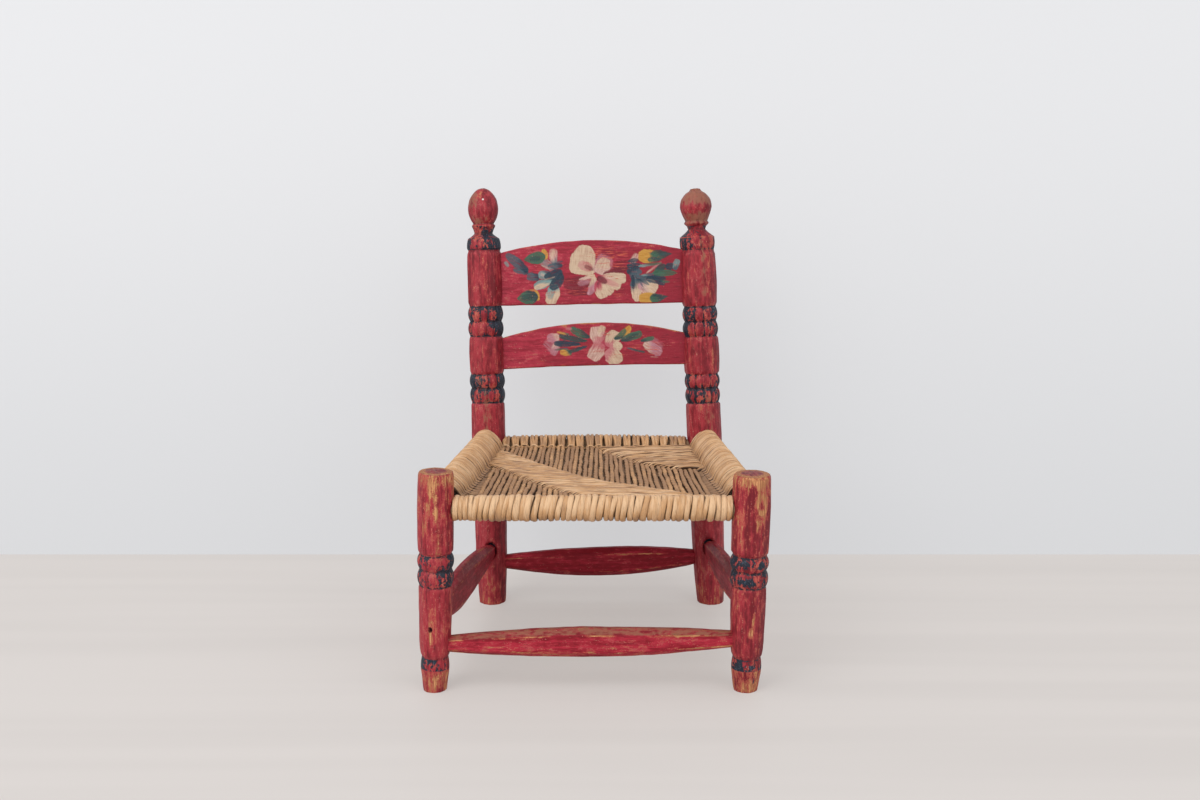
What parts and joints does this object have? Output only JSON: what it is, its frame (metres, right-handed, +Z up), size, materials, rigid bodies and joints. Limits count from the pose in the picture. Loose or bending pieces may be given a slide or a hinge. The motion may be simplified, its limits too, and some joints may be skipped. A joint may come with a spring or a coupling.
{
  "type": "child chair",
  "caption": "Low ladder-back child's chair: turned posts, arched slats, whittled stretchers and a woven rush seat on round rails.",
  "frame": {"origin": "middle of the chair's bounding box in plan, on the floor", "axes": "+Z up, the front of the seat faces -Y, +X is the right side seen from the front"},
  "size_m": [0.3624, 0.3674, 0.5024],
  "materials": {
    "painted_wood": "worn crimson paint over whittled softwood, bare at the edges",
    "decorated_slat": "worn crimson paint with brushed flowers, bare orange wood at the edges",
    "bare_wood": "unpainted whittled softwood",
    "rush_strand": "smooth tan rush strands, slightly waxy",
    "rush_cord": "dull brown twisted rush cord"
  },
  "bodies": {
    "root": {"front_left_leg": "painted_wood", "front_right_leg": "painted_wood", "rear_left_post": "painted_wood", "rear_right_post": "painted_wood", "front_stretcher": "painted_wood", "rear_stretcher": "painted_wood", "left_side_stretcher": "painted_wood", "right_side_stretcher": "painted_wood", "top_slat": "decorated_slat", "lower_slat": "decorated_slat", "front_seat_rail": "bare_wood", "rear_seat_rail": "bare_wood", "left_seat_rail": "bare_wood", "right_seat_rail": "bare_wood", "seat_front_wrap": "rush_strand", "seat_rear_wrap": "rush_strand", "seat_left_wrap": "rush_strand", "seat_right_wrap": "rush_strand", "seat_top_web": "rush_cord", "seat_bottom_web": "rush_cord"}
  },
  "joints": []
}
